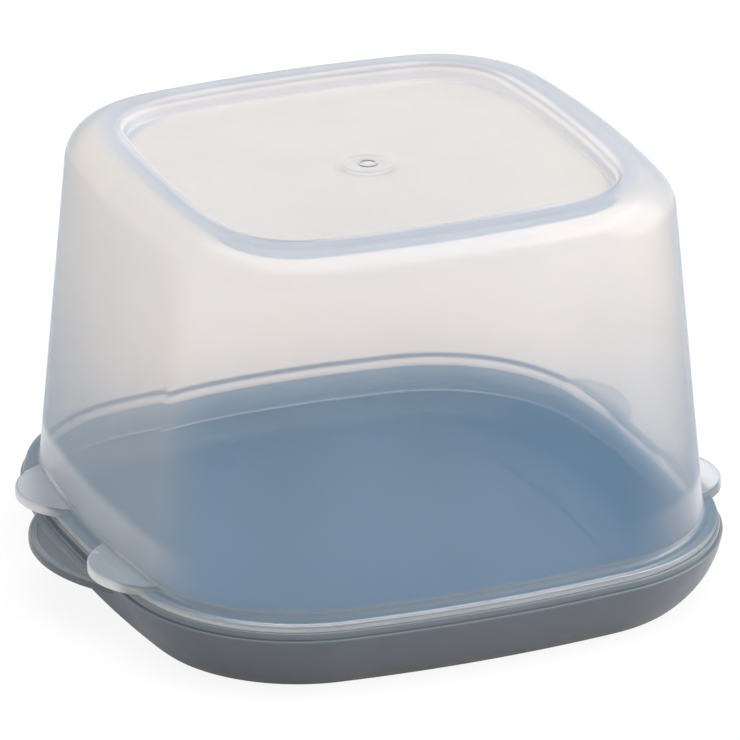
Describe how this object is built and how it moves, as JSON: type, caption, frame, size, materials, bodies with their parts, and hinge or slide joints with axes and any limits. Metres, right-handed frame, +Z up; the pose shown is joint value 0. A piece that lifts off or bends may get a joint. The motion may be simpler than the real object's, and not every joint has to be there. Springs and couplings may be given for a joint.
{
  "type": "food storage container",
  "caption": "Square food keeper with rounded corners: a shallow blue-grey tray with a finger tab, and a high frosted see-through dome that lifts off it.",
  "frame": {"origin": "middle of the tray's foot, on the plane that the container stands on", "axes": "+Z up through the middle of the dome's top, -X towards the tray's finger tab, +Y along the side that has two dome tabs"},
  "size_m": [0.2189, 0.2036, 0.1379],
  "materials": {
    "tray_plastic": "satin moulded polypropylene, opaque blue-grey",
    "dome_plastic": "frosted, milky see-through polypropylene"
  },
  "bodies": {
    "tray": {"tray_base": "tray_plastic"},
    "dome": {"dome_cover": "dome_plastic"}
  },
  "joints": [
    {"name": "dome_lift", "type": "slide", "parent": "tray", "child": "dome", "axis": [0, 0, 1], "range_m": [0, 0.16]}
  ]
}
